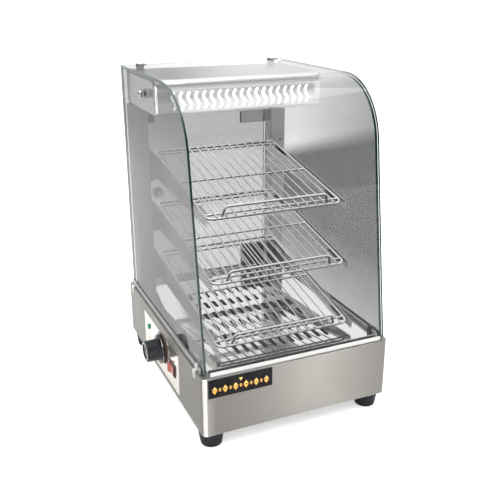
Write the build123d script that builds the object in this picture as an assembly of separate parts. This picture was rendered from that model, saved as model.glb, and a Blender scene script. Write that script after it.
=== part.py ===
from build123d import *

import os
from math import cos, radians, sin, tan

# Countertop hot food display case. A stainless base holds a heating element under a
# slotted deck. A bent glass front and top, two flat glass sides, a lit hood on two slotted
# posts, three sloping wire shelves on cantilever brackets and a pivoted glass rear door
# stand on it. Millimetres. The front faces -Y, +X is on the right of a person who faces
# the front, +Z is up, and the origin lies under the middle of the case, where its feet rest.

# ---- overall sizes ----
case_width = 360.0
case_depth = 455.0
glass_top = 600.0
foot_height = 31.0
base_top = 140.5
corner_radius = 9.0
sheet = 1.5
thin_sheet = 1.2
touch_gap = 0.3

left_face = -case_width / 2
front_face = -case_depth / 2
rear_face = case_depth / 2

# ---- glass ----
glass = 5.0
glass_half_width = 173.5
side_glass_outer = 173.0
glass_rear = 219.0
front_foot_y = -222.0
front_lean = 8.5
bend_radius = 118.0
channel_height = 9.0
channel_wall = 2.2
channel_floor = 1.8
seat_gap = 0.4
glass_bottom = base_top + channel_floor + seat_gap
cap_screw_yz = (72.0, 564.0)

# ---- clips and their screws ----
corner_clip_y = (-188.0, 200.0)
corner_clip_half = 4.5
corner_clip_low = 127.5
corner_clip_screw_z = 133.5
corner_pad_top = 154.0
top_clip_x = (-134.5, 150.0)
top_clip_half = 8.0
top_clip_toe_y = 199.0
top_clip_z = 603.0
top_clip_low = 571.0
top_clip_screw_z = 579.0
clip_screw_radius = 1.9
clip_hole_radius = 2.0

# ---- base openings, deck and heating ----
flange_opening_half_x = 126.0
flange_opening_y = (-190.0, 172.0)
deck_half_x = 163.0
deck_y = (-211.0, 178.0)
deck_sheet = 1.5
slot_columns = 11
slot_column_pitch = 17.7
slot_rows = 6
slot_row_pitch = 48.8
first_slot_row_y = 90.5
deck_slot_length = 30.0
deck_slot_width = 8.0
element_radius = 4.0
element_height = 105.0
element_leg_x = 90.0
tray_floor = 62.0
tray_half_x = 124.0
tray_y = (-186.0, 168.0)

bulb_height = 84.0

# ---- feet, cord gland and lamp lead ----
foot_centres = [(x, y) for x in (-156.0, 156.0) for y in (-200.0, 200.0)]
foot_top_radius = 22.5
foot_bottom_radius = 18.5
foot_taper_height = 25.0
foot_sole_round = 3.0
foot_recess_depth = 9.5
foot_screw_radius = 2.5
hole_slack = 0.2
gland_xz = (-100.0, 72.0)
gland_thread_radius = 8.0
lamp_lead_xy = (-152.0, 197.0)
lamp_lead_hole = 5.0
lead_radius = 1.4

# ---- rear posts ----
post_inner_x = 134.0
post_outer_x = 167.5
post_y = (180.0, 215.0)
post_top = 527.0
slot_pitch = 10.6
slot_height = 8.6
slot_width = 3.2
lowest_slot_z = 167.0
slots_per_column = 27
front_column_y = 186.5
rear_column_y = 208.5
post_hole_x = 156.0
post_hole_z = (226.0, 330.5, 435.0)

# ---- hood, sign and lamp ----
hood_y = (22.0, 219.0)
hood_z = (527.0, 593.0)
hood_half_x = 165.0
hood_front_top_radius = 18.0
hood_front_bottom_radius = 8.0
hood_rear_radius = 8.0
hood_end_round = 6.0
hood_cap_depth = 14.0
hood_mouth_half_x = 147.0
hood_mouth_y = (56.0, 190.0)
wisp_count = 19
wisp_pitch = 14.6
wisp_centre = (1.5, 554.0)
lamp_axis_yz = (62.0, 558.0)
lamp_radius = 8.0
lamp_half_length = 141.0

# ---- shelves and brackets, from the lowest level up ----
levels = ("lower", "middle", "upper")
shelf_slope = 11.0
level_pitch = 10 * slot_pitch
lowest_shelf_rear_z = 224.5
shelf_rear_y = 160.5
shelf_front_y = {"lower": -168.0, "middle": -148.0, "upper": -129.0}
shelf_half_x = 129.0
frame_wire = 2.5
deck_wire = 1.25
cross_wire = 2.0
deck_wire_pitch = 17.2
deck_wire_count = 14
weld_bite = 0.35
guard_height = 18.5
guard_foot_x = 101.0
guard_top_x = 96.0
bracket_inner_x = 132.3
bracket_outer_x = 133.8
bracket_root_y = 191.0

# ---- rear door ----
door_axis = (115.0, 208.0)
door_half_x = 130.0
door_z = (145.5, 522.5)
patch_low_x = 76.0
patch_height = 51.0
patch_plate = 4.0
notch_reach = 8.0
notch_height = 25.0
pivot_radius = 4.0
running_clearance = 0.05
door_knob_xz = (-108.0, 335.0)

# ---- controls on the left side of the base ----
knob_yz = (-1.0, 89.5)
indicator_yz = (84.0, 98.0)
rocker_yz = (-66.0, 80.0)
rocker_tilt = 8.0
label_sheet = 0.3
shaft_radius = 3.0
shaft_length = 27.0
knob_gap = 0.7
knob_radius = 21.0
knob_skirt_radius = 29.0
knob_length = 33.5
indicator_hole = 5.2
rocker_hole = (28.0, 22.0)
rocker_bezel = (32.0, 25.0)
rocker_pivot_depth = 2.0
rocker_pivot_radius = 1.5


# ---------------------------------------------------------------- helpers
def block(x, y, z):
    """Box between the given low and high values on each axis."""
    middle = Pos((x[0] + x[1]) / 2, (y[0] + y[1]) / 2, (z[0] + z[1]) / 2)
    return middle * Box(x[1] - x[0], y[1] - y[0], z[1] - z[0])


def rod(start, end, radius):
    """Round bar between two points."""
    along = Vector(*end) - Vector(*start)
    section = Plane(origin=start, z_dir=along) * Circle(radius)
    return extrude(section, amount=along.length)


def ring(start, end, outer, inner):
    """Round tube between two points."""
    return rod(start, end, outer) - rod(start, end, inner)


def across_x(outline, x):
    """Solid from an outline drawn in (Y, Z), between two values of X."""
    plane = Plane(origin=(min(x), 0, 0), x_dir=(0, 1, 0), z_dir=(1, 0, 0))
    return extrude(plane * outline, amount=abs(x[1] - x[0]))


def polygon(points):
    """Closed face through the points."""
    return make_face(Polyline(*points, close=True))


def bent_wire(points, radius, bend, closed=False):
    """Round wire along straight runs joined by bends of one radius, or of one for each corner."""
    path = FilletPolyline(*points, radius=bend, close=closed)
    section = Plane(origin=path @ 0, z_dir=path % 0) * Circle(radius)
    return sweep(section, path=path)


def group(solids):
    """Separate solids kept as one node."""
    return Compound([solid for shape in solids for solid in shape.solids()])


def pan_screw(seat, direction, head_radius, head_height, shank_radius, length):
    """Pan-head screw: the head stands against `direction`, the shank points along it."""
    seat = Vector(*seat)
    direction = Vector(*direction).normalized()
    crown = seat - direction * head_height
    head = rod(seat, crown, head_radius)
    rim = head.edges().filter_by(GeomType.CIRCLE).sort_by_distance(crown)[0]
    return fillet(rim, head_height * 0.45) + rod(seat, seat + direction * length, shank_radius)


# ---------------------------------------------------------------- base
def base_outline(inset):
    """Plan of the base: the front corners are rounded, the rear ones nearly sharp."""
    outline = Rectangle(case_width - 2 * inset, case_depth - 2 * inset)
    front = outline.vertices().group_by(Axis.Y)[0]
    outline = fillet(front, corner_radius - inset)
    rear = outline.vertices().group_by(Axis.Y)[-1]
    return fillet(rear, sheet * 2 - inset)


def base_shell():
    walls = base_outline(0) - base_outline(sheet)
    shell = extrude(Pos(0, 0, foot_height) * walls, amount=base_top - foot_height)
    top = extrude(Pos(0, 0, base_top - sheet) * base_outline(0), amount=sheet)
    opening = block(
        (-flange_opening_half_x, flange_opening_half_x),
        flange_opening_y,
        (base_top - 2 * sheet, base_top + sheet),
    )
    shell = shell + top - opening
    for cutter in base_wall_holes():
        shell = shell - cutter
    return shell


def base_wall_holes():
    """Openings for the controls, the cord gland and the lamp lead."""
    wall = (left_face - sheet, left_face + 2 * sheet)
    shaft = rod((wall[0], *knob_yz), (wall[1], *knob_yz), shaft_radius + 1.5)
    indicator = rod((wall[0], *indicator_yz), (wall[1], *indicator_yz), indicator_hole)
    rocker = rocker_cutout(wall)
    gland_start = (gland_xz[0], rear_face - 2 * sheet, gland_xz[1])
    gland_end = (gland_xz[0], rear_face + sheet, gland_xz[1])
    gland = rod(gland_start, gland_end, gland_thread_radius)
    lead = rod((*lamp_lead_xy, base_top - 2 * sheet), (*lamp_lead_xy, base_top + 1), lamp_lead_hole)
    return [shaft, indicator, rocker, gland, lead]


def base_bottom_plate():
    plate = extrude(Pos(0, 0, foot_height) * base_outline(sheet), amount=sheet)
    vent = Rot(0, 0, 90) * SlotOverall(40, 6)
    for place in GridLocations(14, 90, 13, 2):
        plate = plate - extrude(Pos(0, 0, foot_height - 1) * place * vent, amount=4)
    for x, y in foot_centres:
        hole = rod((x, y, foot_height - 1), (x, y, foot_height + 3), foot_screw_radius + hole_slack)
        plate = plate - hole
    return plate


def rubber_feet():
    """Tapered rubber feet with a rounded sole edge and a counterbore for the screw."""
    outline = [
        (0, 0),
        (foot_bottom_radius, 0),
        (foot_top_radius, foot_taper_height),
        (foot_top_radius, foot_height),
        (0, foot_height),
    ]
    profile = polygon(outline)
    sole = profile.vertices().sort_by_distance((foot_bottom_radius, 0, 0))[0]
    foot = revolve(Plane.XZ * fillet(sole, foot_sole_round), axis=Axis.Z)
    foot = foot - rod((0, 0, -1), (0, 0, foot_recess_depth), 7.0)
    foot = foot - rod((0, 0, 0), (0, 0, foot_height + 1), foot_screw_radius + hole_slack)
    return group([Pos(x, y, 0) * foot for x, y in foot_centres])


def foot_screws():
    """Screws up through the feet, each with its hexagon nut inside the base."""
    screw = pan_screw((0, 0, foot_recess_depth), (0, 0, 1), 5.5, 3.0, foot_screw_radius, 30.0)
    nut = extrude(Pos(0, 0, foot_height + sheet) * RegularPolygon(4.6, 6), amount=4.0)
    nut = nut - rod((0, 0, foot_height), (0, 0, foot_height + 10), foot_screw_radius)
    pieces = []
    for x, y in foot_centres:
        pieces += [Pos(x, y, 0) * screw, Pos(x, y, 0) * nut]
    return group(pieces)


def deck_plate():
    """Lift-in floor of the cabinet, pierced over the heating element."""
    width = 2 * deck_half_x
    depth = deck_y[1] - deck_y[0]
    plate = Pos(0, sum(deck_y) / 2) * Rectangle(width, depth)
    middle_row_y = first_slot_row_y - (slot_rows - 1) * slot_row_pitch / 2
    slot = Rot(0, 0, 90) * SlotOverall(deck_slot_length, deck_slot_width)
    for place in GridLocations(slot_column_pitch, slot_row_pitch, slot_columns, slot_rows):
        plate = plate - Pos(0, middle_row_y) * place * slot
    return extrude(Pos(0, 0, base_top) * plate, amount=deck_sheet)


def heat_tray():
    """Open pan that hangs from the base's top flange around the heating element."""
    x = (-tray_half_x, tray_half_x)
    inner_x = (x[0] + thin_sheet, x[1] - thin_sheet)
    inner_y = (tray_y[0] + thin_sheet, tray_y[1] - thin_sheet)
    rim_z = base_top - sheet
    pan = block(x, tray_y, (tray_floor, rim_z))
    rim = block((x[0] - 8, x[1] + 8), (tray_y[0] - 8, tray_y[1] + 8), (rim_z - thin_sheet, rim_z))
    tray = pan + rim - block(inner_x, inner_y, (tray_floor + thin_sheet, rim_z + 1))
    for leg_x in (-element_leg_x, element_leg_x):
        near = (leg_x, tray_y[1] - 5, element_height)
        tray = tray - rod(near, (leg_x, tray_y[1] + 5, element_height), element_radius + 0.3)
    near = (-tray_half_x - 5, knob_yz[0], bulb_height)
    far = (-tray_half_x + 5, knob_yz[0], bulb_height)
    return tray - rod(near, far, 2.0)


def heating_element():
    """Tubular element bent to four legs, its cold ends through the tray's rear wall."""
    leg, turn_gap = element_leg_x, element_leg_x / 3
    rear_turn, front_turn, end = 125.0, -140.0, tray_y[1] + 14.0
    route = [(-leg, end), (-leg, front_turn), (-turn_gap, front_turn), (-turn_gap, rear_turn)]
    route += [(-x, y) for x, y in reversed(route)]
    element = bent_wire([(x, y, element_height) for x, y in route], element_radius, turn_gap - 1)
    for x in (-leg, leg):
        element = element + rod((x, end, element_height), (x, end + 9, element_height), 1.6)
    return element


def element_brackets():
    """Two bridges that carry the element above the tray's floor."""
    half_span, half_width = 104.0, 7.0
    top = element_height - element_radius
    low = tray_floor + thin_sheet
    bridges = []
    for y in (-90.0, 70.0):
        span_y = (y - half_width, y + half_width)
        bridge = block((-half_span, half_span), span_y, (low, top))
        inside = (-half_span + thin_sheet, half_span - thin_sheet)
        bridges.append(bridge - block(inside, span_y, (low - 1, top - thin_sheet)))
    return group(bridges)


# ---------------------------------------------------------------- controls
def control_plane(yz, x):
    """Plane on the left side of the base: its normal points out of the case."""
    return Plane(origin=(x, *yz), x_dir=(0, -1, 0), z_dir=(-1, 0, 0))


def rocker_cutout(x):
    half_y, half_z = rocker_hole[0] / 2, rocker_hole[1] / 2
    y, z = rocker_yz
    return block(x, (y - half_y, y + half_y), (z - half_z, z + half_z))


def control_label():
    """Printed panel round the controls."""
    x = (left_face - label_sheet, left_face)
    label = block(x, (-106.0, 118.0), (38.0, 124.0))
    label = label - rod((x[0] - 1, *knob_yz), (x[1] + 1, *knob_yz), shaft_radius + 1.5)
    label = label - rod((x[0] - 1, *indicator_yz), (x[1] + 1, *indicator_yz), indicator_hole)
    return label - rocker_cutout((x[0] - 1, x[1] + 1))


def thermostat_body():
    """Thermostat behind the side wall, bored for its spindle."""
    y, z = knob_yz
    inner_wall = left_face + sheet
    plate = block((inner_wall, inner_wall + 2), (y - 22, y + 22), (z - 14, z + 14))
    case = block((inner_wall + 2, -150.5), (y - 17, y + 17), (z - 19, z + 19))
    bore = rod((inner_wall - 1, y, z), (inner_wall + 12, y, z), shaft_radius + running_clearance)
    return plate + case - bore


def thermostat_shaft():
    y, z = knob_yz
    return rod((left_face + sheet + 10, y, z), (left_face - shaft_length, y, z), shaft_radius)


def thermostat_knob():
    """Round knob with a wide grooved flange at its foot and a raised pointer on its face."""
    seat = label_sheet + knob_gap
    top = knob_length + label_sheet
    outline = [
        (0, seat),
        (knob_skirt_radius, seat),
        (knob_skirt_radius, seat + 1.4),
        (knob_skirt_radius - 1.8, seat + 2.2),
        (knob_skirt_radius - 1.8, seat + 3.2),
        (knob_skirt_radius - 0.8, seat + 3.8),
        (knob_skirt_radius - 0.8, seat + 5.4),
        (knob_skirt_radius - 2.0, seat + 6.6),
        (knob_radius + 1.4, seat + 7.2),
        (knob_radius, seat + 8.6),
        (knob_radius - 0.8, top),
        (0, top),
    ]
    profile = polygon(outline)
    crown = profile.vertices().sort_by_distance((knob_radius - 0.8, top, 0))[0]
    body = revolve(Plane.XZ * fillet(crown, 2.5), axis=Axis.Z)
    dish = Pos(0, 0, top - 0.5) * Cylinder(14.5, 2.0)
    pointer = block((-1.5, 1.5), (4.0, 13.5), (top - 1.5, top))
    skirt_mark = block((-1.2, 1.2), (knob_radius + 2.0, knob_skirt_radius - 2.4), (seat + 5.0, seat + 7.8))
    knob = body - dish + pointer + skirt_mark
    knob = control_plane(knob_yz, left_face) * knob
    return knob - rod((left_face, *knob_yz), (left_face - shaft_length, *knob_yz), shaft_radius)


def thermostat_bulb():
    """Sensing bulb beside the element, with its capillary through the tray's wall."""
    y = knob_yz[0]
    capillary = bent_wire(
        [(-150.5, y, bulb_height), (-112, y, bulb_height), (-112, y + 31, bulb_height)], 1.0, 9.0
    )
    bulb = rod((-112, y + 30, bulb_height), (-112, y + 100, bulb_height), 3.2)
    return capillary + bulb


def rocker_switch_body():
    """Snap-in switch case with a bezel, open at the front for the rocker."""
    y, z = rocker_yz
    outer = left_face - label_sheet
    half_y, half_z = rocker_bezel[0] / 2, rocker_bezel[1] / 2
    bezel = block((outer - 2, outer), (y - half_y, y + half_y), (z - half_z, z + half_z))
    bezel = fillet(bezel.edges().group_by(Axis.X)[0], 0.8)
    half_y, half_z = rocker_hole[0] / 2 - 0.2, rocker_hole[1] / 2 - 0.2
    case = block((outer, -152.0), (y - half_y, y + half_y), (z - half_z, z + half_z))
    well = block((outer - 3, outer + 13), (y - 13.0, y + 13.0), (z - 9.2, z + 9.2))
    pivot_x = outer + rocker_pivot_depth
    pivots = rod((pivot_x, y, z - 10.6), (pivot_x, y, z + 10.6), rocker_pivot_radius + running_clearance)
    body = bezel + case - well - pivots
    for terminal_y in (y - 8, y + 8):
        body = body + block((-152.0, -146.0), (terminal_y - 0.4, terminal_y + 0.4), (z - 3, z + 3))
    return body


def rocker_switch_button():
    """Rocker that tips about its upright pivot, with a raised half and a pressed half."""
    half_y, half_z = 12.3, 8.8
    outline = polygon(
        [(-half_y, 0.5), (-half_y, 7.5), (0, 5.2), (half_y, 7.5), (half_y, 0.5), (4.0, -5.5), (-4.0, -5.5)]
    )
    button = extrude(Pos(0, 0, -half_z) * outline, amount=2 * half_z)
    rims = button.edges().filter_by(Axis.Z).group_by(Axis.Y)[-1]
    button = fillet(rims, 0.8)
    button = button + rod((0, 0, -10.3), (0, 0, 10.3), rocker_pivot_radius)
    pivot_x = left_face - label_sheet + rocker_pivot_depth
    seat = Plane(origin=(pivot_x, *rocker_yz), x_dir=(0, 1, 0), z_dir=(0, 0, 1))
    return seat * Rot(0, 0, rocker_tilt) * button


def indicator_lens():
    """Domed lens of the power indicator."""
    outer = left_face - label_sheet
    disc = rod((outer, *indicator_yz), (outer - 3.4, *indicator_yz), 6.0)
    front_rim = disc.edges().filter_by(GeomType.CIRCLE).group_by(Axis.X)[0]
    return fillet(front_rim, 2.6)


def indicator_body():
    """Barrel behind the indicator's lens, with its nut inside the wall."""
    outer = left_face - label_sheet
    inner_wall = left_face + sheet
    radius = indicator_hole - hole_slack
    barrel = rod((outer, *indicator_yz), (-158.0, *indicator_yz), radius)
    nut = ring((inner_wall, *indicator_yz), (inner_wall + 3, *indicator_yz), 8.0, radius)
    return group([barrel, nut])


def front_badge():
    """Plain black badge plate on the front of the base."""
    return block((-170.0, -53.5), (front_face - 1.2, front_face), (104.0, 138.0))


def cord_gland():
    """Gland for the supply cord in the rear wall, with its lock nut inside."""
    x, z = gland_xz
    bore = 4.2
    plane = Plane(origin=(x, rear_face, z), x_dir=(1, 0, 0), z_dir=(0, 1, 0))
    collar = extrude(plane * RegularPolygon(12.0, 6), amount=5.0)
    dome = loft([plane.offset(5.0) * Circle(10.0), plane.offset(12.0) * Circle(7.0)])
    thread = rod((x, rear_face - 13.5, z), (x, rear_face, z), gland_thread_radius)
    body = collar + dome + thread - rod((x, rear_face - 20, z), (x, rear_face + 20, z), bore)
    nut_start = plane.offset(-sheet - 4.5)
    nut = extrude(nut_start * RegularPolygon(12.0, 6), amount=4.5)
    nut = nut - rod((x, rear_face - 20, z), (x, rear_face, z), gland_thread_radius)
    return group([body, nut])


def terminal_block():
    """Three-pole terminal block on the bottom plate."""
    x, y, low = -100.0, 185.0, foot_height + sheet
    block_body = block((x - 24, x + 24), (y - 9, y + 9), (low, low + 15))
    for dx in (-15.0, 0.0, 15.0):
        block_body = block_body - rod((x + dx, y, low + 9), (x + dx, y, low + 20), 3.0)
    return block_body


def internal_wiring():
    """Insulated leads from the terminal block to each electrical part."""
    low = foot_height + sheet + 4.0
    lane_x = -150.0
    lane_y = 205.0
    routes = [
        [(-100, rear_face - 20, gland_xz[1]), (-100, lane_y - 4, 72), (-100, 185, 51)],
        [(-124, 188, low), (lane_x, 188, low), (lane_x, -66, low), (lane_x, -66, 68)],
        [(-124, 184, low + 6), (lane_x + 8, 184, low + 6), (lane_x + 8, -1, low + 6), (lane_x + 8, -1, 70)],
        [(-75, 188, low), (-60, 196, low), (-60, lane_y, 105), (-90, lane_y, 105), (-90, 193, 105)],
        [(-76, 182, low), (90, 182, low), (90, lane_y, 60), (90, lane_y, 105), (90, 193, 105)],
        [(-125, 192, low + 9), (-152, 197, low + 9), (-152, 197, 560), (-152, 62, 574)],
    ]
    return group([bent_wire(route, lead_radius, 5.0) for route in routes])


# ---------------------------------------------------------------- posts and brackets
def rear_post(side):
    """Square post with two columns of bracket slots on its inner face."""
    x = sorted((side * post_inner_x, side * post_outer_x))
    middle = (sum(x) / 2, sum(post_y) / 2)
    size = (x[1] - x[0], post_y[1] - post_y[0])
    outer = fillet(Rectangle(*size).vertices(), 3.0)
    inner = fillet(Rectangle(size[0] - 2 * sheet, size[1] - 2 * sheet).vertices(), 1.5)
    post = extrude(Pos(*middle, base_top) * (outer - inner), amount=post_top - base_top)
    wall_x = (side * (post_inner_x - 2), side * (post_inner_x + 2 * sheet))
    slots = Sketch()
    for y in (front_column_y, rear_column_y):
        for index in range(slots_per_column):
            slots += Pos(y, lowest_slot_z + index * slot_pitch) * Rectangle(slot_width, slot_height)
    post = post - across_x(slots, wall_x)
    for z in post_hole_z:
        start = (side * post_hole_x, post_y[0] - 1, z)
        post = post - rod(start, (side * post_hole_x, post_y[0] + 3, z), 2.2)
    return post


def shelf_rear_z(level):
    return lowest_shelf_rear_z + levels.index(level) * level_pitch


def on_shelf(level, y, height):
    """(Y, Z) of a point `height` above the shelf's frame wire, over the given y."""
    plane_z = shelf_rear_z(level) - (shelf_rear_y - y) * tan(radians(shelf_slope))
    return (y - height * sin(radians(shelf_slope)), plane_z + height * cos(radians(shelf_slope)))


def bracket_outline(level):
    """Side view of a bracket: deep at the post, tapering to the front of its shelf."""
    rear_z = shelf_rear_z(level)
    nose_y = shelf_front_y[level] - 8.0
    return polygon(
        [
            (bracket_root_y, rear_z - 65.0),
            (178.0, rear_z - 65.0),
            (132.0, rear_z - 48.5),
            on_shelf(level, nose_y, -9.0),
            on_shelf(level, nose_y, 5.0),
            on_shelf(level, 86.0, 5.0),
            on_shelf(level, 92.0, -0.5),
            on_shelf(level, bracket_root_y, -0.5),
        ]
    )


def bracket_tab(level, side, y):
    """Ledge bent inwards from the bracket, under the shelf's side wire."""
    top = -frame_wire - touch_gap
    low = top - sheet
    corners = [on_shelf(level, y[0], low), on_shelf(level, y[1], low)]
    corners += [on_shelf(level, y[1], top), on_shelf(level, y[0], top)]
    return across_x(polygon(corners), (side * 118.3, side * bracket_inner_x))


def bracket_hook(side, slot_z):
    """Tongue through a post slot, turned down behind the wall."""
    stem_low = slot_z - slot_height / 2 + 0.1
    y = (front_column_y - 1.3, front_column_y + 1.3)
    behind = post_inner_x + sheet + 0.2
    stem_x = sorted((side * bracket_outer_x, side * (behind + sheet)))
    lip_x = sorted((side * behind, side * (behind + sheet)))
    stem = block(stem_x, y, (stem_low, stem_low + 4.6))
    return stem + block(lip_x, y, (stem_low - 3.4, stem_low + 4.6))


def shelf_bracket(level, side):
    plate = across_x(bracket_outline(level), (side * bracket_inner_x, side * bracket_outer_x))
    front = shelf_front_y[level]
    rear_tab = bracket_tab(level, side, (95.0, 140.0))
    front_tab = bracket_tab(level, side, (front + 12, front + 57))
    bracket = plate + rear_tab + front_tab
    upper_slot_z = shelf_rear_z(level) - 4.5
    for slot_z in (upper_slot_z, upper_slot_z - 4 * slot_pitch):
        bracket = bracket + bracket_hook(side, slot_z)
    return bracket


# ---------------------------------------------------------------- wire shelves
def shelf_plane(level):
    """Plane through the frame wire: x to the right, y up the slope, origin at the rear."""
    tilt = radians(shelf_slope)
    origin = (0, shelf_rear_y, shelf_rear_z(level))
    return Plane(origin=origin, x_dir=(1, 0, 0), z_dir=(0, -sin(tilt), cos(tilt)))


def shelf_length(level):
    return (shelf_rear_y - shelf_front_y[level]) / cos(radians(shelf_slope))


def wire_shelf(level):
    """Welded rack: a frame wire, three cross wires and the thin wires over them."""
    length = shelf_length(level)
    half = shelf_half_x
    corners = [(-half, 0, 0), (-half, -length, 0), (half, -length, 0), (half, 0, 0)]
    rack = bent_wire(corners, frame_wire, (8.0, 14.0, 14.0, 8.0), closed=True)
    wire_height = frame_wire + deck_wire - weld_bite
    cross_height = wire_height - deck_wire - cross_wire + weld_bite
    for share in (0.05, 0.5, 0.95):
        y = -share * length
        rack = rack + rod((-half + 1, y, cross_height), (half - 1, y, cross_height), cross_wire)
    first_x = -(deck_wire_count - 1) * deck_wire_pitch / 2
    for index in range(deck_wire_count):
        x = first_x + index * deck_wire_pitch
        rack = rack + rod((x, 1.5, wire_height), (x, -length - 1.5, wire_height), deck_wire)
    return shelf_plane(level) * rack


def shelf_guard(level, rack):
    """Low wire fence behind the front wire, which stops trays from sliding off."""
    y = -shelf_length(level) + 2 * frame_wire - weld_bite
    low, high = (guard_foot_x, y, -1.5), (guard_top_x, y, guard_height)
    route = [(-low[0], *low[1:]), (-high[0], *high[1:]), high, low]
    guard = shelf_plane(level) * bent_wire(route, frame_wire - 0.2, 7.0)
    return guard - rack


# ---------------------------------------------------------------- glass
def front_line(z):
    """Y of the outer face of the leaning front glass at a height."""
    return front_foot_y + (z - base_top) * tan(radians(front_lean))


def cabinet_outline(inset, bottom, rear):
    """(Y, Z) outline of the glazed cabinet, moved inwards from its front and top."""
    top = glass_top - inset
    shift = inset / cos(radians(front_lean))
    corner = (front_line(top) + shift, top)
    outline = polygon([(front_line(bottom) + shift, bottom), corner, (rear, top), (rear, bottom)])
    bend = outline.vertices().sort_by_distance((*corner, 0))[0]
    return fillet(bend, bend_radius - inset)


def front_glass():
    """Bent sheet: leaning front, large bend and flat top in one piece."""
    outer = cabinet_outline(0, glass_bottom, glass_rear)
    inner = cabinet_outline(glass, glass_bottom - glass, glass_rear + glass)
    return across_x(outer - inner, (-glass_half_width, glass_half_width))


def side_glass(side):
    outline = cabinet_outline(glass + seat_gap, glass_bottom, glass_rear)
    x = (side * (side_glass_outer - glass), side * side_glass_outer)
    hole = rod((side * 160, *cap_screw_yz), (side * 180, *cap_screw_yz), 4.0)
    return across_x(outline, x) - hole


def glass_channel_side(side):
    """Aluminium U strip that holds the foot of a side glass."""
    groove = (side_glass_outer - glass - touch_gap, side_glass_outer + touch_gap)
    outer = (groove[0] - channel_wall, groove[1] + channel_wall)
    y = (front_line(glass_bottom) + 2 * glass + 4, glass_rear)
    strip = block(outer, y, (base_top, base_top + channel_height))
    strip = strip - block(groove, y, (base_top + channel_floor, base_top + channel_height + 1))
    beside_post = (post_y[0] - seat_gap, glass_rear + 1)
    strip = strip - block((outer[0] - 1, groove[0]), beside_post, (base_top - 1, glass_top))
    return strip if side > 0 else mirror(strip, about=Plane.YZ)


def glass_channel_front():
    """Aluminium U strip that holds the foot of the front glass."""
    glass_across = glass / cos(radians(front_lean))
    groove_front = front_line(base_top) - touch_gap
    groove = (groove_front, front_line(base_top + channel_height) + glass_across + touch_gap)
    y = (groove[0] - channel_wall, groove[1] + channel_wall)
    x = (-glass_half_width + 9, glass_half_width - 9)
    strip = block(x, y, (base_top, base_top + channel_height))
    return strip - block(x, groove, (base_top + channel_floor, base_top + channel_height + 1))


def glass_corner_clip(side, y):
    """Strip screwed to the base side, over the channel and against the glass."""
    span = (y - corner_clip_half, y + corner_clip_half)
    outside = case_width / 2
    rim = side_glass_outer + touch_gap + channel_wall
    top = base_top + channel_height
    leg = block((outside, outside + thin_sheet), span, (corner_clip_low, base_top + thin_sheet))
    foot = block((rim, outside + thin_sheet), span, (base_top, base_top + thin_sheet))
    riser = block((rim, rim + thin_sheet), span, (base_top, top + thin_sheet))
    lip = block((side_glass_outer, rim + thin_sheet), span, (top, top + thin_sheet))
    clip = leg + foot + riser + lip
    hole_start = (outside - 1, y, corner_clip_screw_z)
    clip = clip - rod(hole_start, (outside + 5, y, corner_clip_screw_z), clip_hole_radius)
    return clip if side > 0 else mirror(clip, about=Plane.YZ)


def glass_corner_clips():
    return group([glass_corner_clip(side, y) for side in (-1, 1) for y in corner_clip_y])


def top_clip_hole(x):
    """Screw hole through a top clip and the hood's rear wall."""
    start = (x, glass_rear - 6, top_clip_screw_z)
    return rod(start, (x, glass_rear + 3, top_clip_screw_z), clip_hole_radius)


def top_rear_clip(x):
    """Bent strip over the rear edge of the top glass, screwed to the hood."""
    span = (x - top_clip_half, x + top_clip_half)
    leg = block(span, (glass_rear, glass_rear + sheet), (top_clip_low, top_clip_z))
    bridge = block(span, (top_clip_toe_y, glass_rear + sheet), (top_clip_z - sheet, top_clip_z))
    toe = block(span, (top_clip_toe_y, top_clip_toe_y + sheet), (glass_top, top_clip_z))
    return leg + bridge + toe - top_clip_hole(x)


def top_rear_clips():
    return group([top_rear_clip(x) for x in top_clip_x])


def corner_pad(side):
    """Rubber block inside a side glass at its front clip, hooked over the channel's inner wall."""
    y = (corner_clip_y[0] - corner_clip_half, corner_clip_y[0] + corner_clip_half)
    glass_inner = side_glass_outer - glass
    wall_inner = glass_inner - touch_gap - channel_wall
    inner = deck_half_x + hole_slack
    leg = block((inner, wall_inner), y, (base_top, corner_pad_top))
    pad = leg + block((inner, glass_inner), y, (base_top + channel_height, corner_pad_top))
    return pad if side > 0 else mirror(pad, about=Plane.YZ)


def clip_pads():
    """Rubber blocks under the top clips and inside the front corner clips."""
    z = (glass_top, top_clip_z - sheet)
    y = (top_clip_toe_y + sheet, glass_rear)
    half = top_clip_half - 1.5
    pads = [block((x - half, x + half), y, z) for x in top_clip_x]
    return group(pads + [corner_pad(side) for side in (-1, 1)])


def clip_screws():
    """Screws of the corner clips and of the top clips."""
    screws = []
    for side in (-1, 1):
        for y in corner_clip_y:
            seat = (side * (case_width / 2 + thin_sheet), y, corner_clip_screw_z)
            screws.append(pan_screw(seat, (-side, 0, 0), 2.9, 1.6, clip_screw_radius, thin_sheet))
    for x in top_clip_x:
        seat = (x, glass_rear + sheet, top_clip_screw_z)
        screws.append(pan_screw(seat, (0, -1, 0), 3.6, 2.2, clip_screw_radius, sheet))
    return group(screws)


def glass_cap_screw(side):
    """Dome-headed screw through the side glass into the hood's end."""
    seat = side * (side_glass_outer + thin_sheet)
    y, z = cap_screw_yz
    flange = rod((seat, y, z), (seat + side * 2.0, y, z), 7.0)
    dome = Pos(seat + side * 2.0, y, z) * Sphere(5.6)
    keep = sorted((seat + side * 1.0, seat + side * 9.0))
    dome = dome & block(keep, (y - 8, y + 8), (z - 8, z + 8))
    return flange + dome + rod((seat, y, z), (side * 157.0, y, z), 3.0)


def glass_washers():
    """Rubber washers on both faces of each side glass."""
    rings = []
    for side in (-1, 1):
        y, z = cap_screw_yz
        outer = side * side_glass_outer
        inner = side * (side_glass_outer - glass)
        rings.append(ring((outer, y, z), (outer + side * thin_sheet, y, z), 8.5, 3.0))
        rings.append(ring((inner, y, z), (side * hood_half_x, y, z), 8.5, 3.0))
    return group(rings)


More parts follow.
